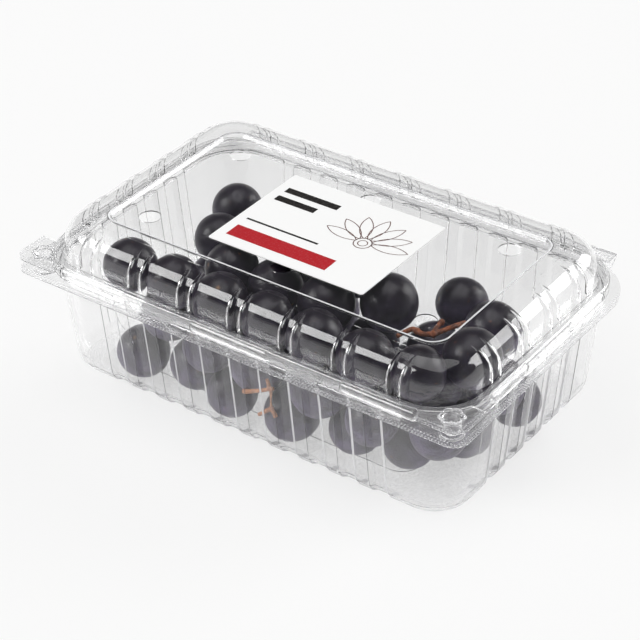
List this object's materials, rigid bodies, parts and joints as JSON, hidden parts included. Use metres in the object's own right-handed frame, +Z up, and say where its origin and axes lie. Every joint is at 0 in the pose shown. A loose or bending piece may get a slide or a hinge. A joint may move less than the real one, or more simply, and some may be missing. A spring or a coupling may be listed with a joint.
{
  "type": "plastic clamshell pack",
  "caption": "Hinged clear plastic clamshell pack for fruit, with a fluted tray, a ribbed and vented lid with snap corners, a plain label and loose black grapes inside.",
  "frame": {"origin": "middle of the pack's outline, at the height of the face that the tray rests on", "axes": "+X along the long side, +Y towards the hinge at the back, +Z up"},
  "size_m": [0.195, 0.1281, 0.0646],
  "materials": {
    "clear_plastic": "clear and glossy",
    "label_paper": "smooth coated paper",
    "grape_skin": "satin skin with a pale bloom",
    "stem": "matt"
  },
  "bodies": {
    "tray_with_fruit": {"tray": "clear_plastic", "twig": "stem", "stalk": "stem", "grape_01": "grape_skin", "grape_02": "grape_skin", "grape_03": "grape_skin", "grape_04": "grape_skin", "grape_05": "grape_skin", "grape_06": "grape_skin", "grape_07": "grape_skin", "grape_08": "grape_skin", "grape_09": "grape_skin", "grape_10": "grape_skin", "grape_11": "grape_skin", "grape_12": "grape_skin", "grape_13": "grape_skin", "grape_14": "grape_skin", "grape_15": "grape_skin", "grape_16": "grape_skin", "grape_17": "grape_skin", "grape_18": "grape_skin", "grape_19": "grape_skin", "grape_20": "grape_skin", "grape_21": "grape_skin", "grape_22": "grape_skin", "grape_23": "grape_skin", "grape_24": "grape_skin", "grape_25": "grape_skin", "grape_26": "grape_skin", "grape_27": "grape_skin", "grape_28": "grape_skin", "grape_29": "grape_skin", "grape_30": "grape_skin", "grape_31": "grape_skin", "grape_32": "grape_skin", "grape_33": "grape_skin", "grape_34": "grape_skin", "grape_35": "grape_skin", "grape_36": "grape_skin", "grape_37": "grape_skin", "grape_38": "grape_skin", "grape_39": "grape_skin", "grape_40": "grape_skin", "grape_41": "grape_skin", "grape_42": "grape_skin", "grape_43": "grape_skin", "grape_44": "grape_skin", "grape_45": "grape_skin", "grape_46": "grape_skin", "grape_47": "grape_skin", "grape_48": "grape_skin", "grape_49": "grape_skin", "grape_50": "grape_skin", "grape_51": "grape_skin", "grape_52": "grape_skin", "grape_53": "grape_skin", "grape_54": "grape_skin", "grape_55": "grape_skin"},
    "lid_with_label": {"lid": "clear_plastic", "label": "label_paper"}
  },
  "joints": [
    {"name": "lid_hinge", "type": "hinge", "parent": "tray_with_fruit", "child": "lid_with_label", "pos_m": [0, 0.0653, 0.0489], "axis": [-1, 0, 0], "range_deg": [0, 180]}
  ]
}
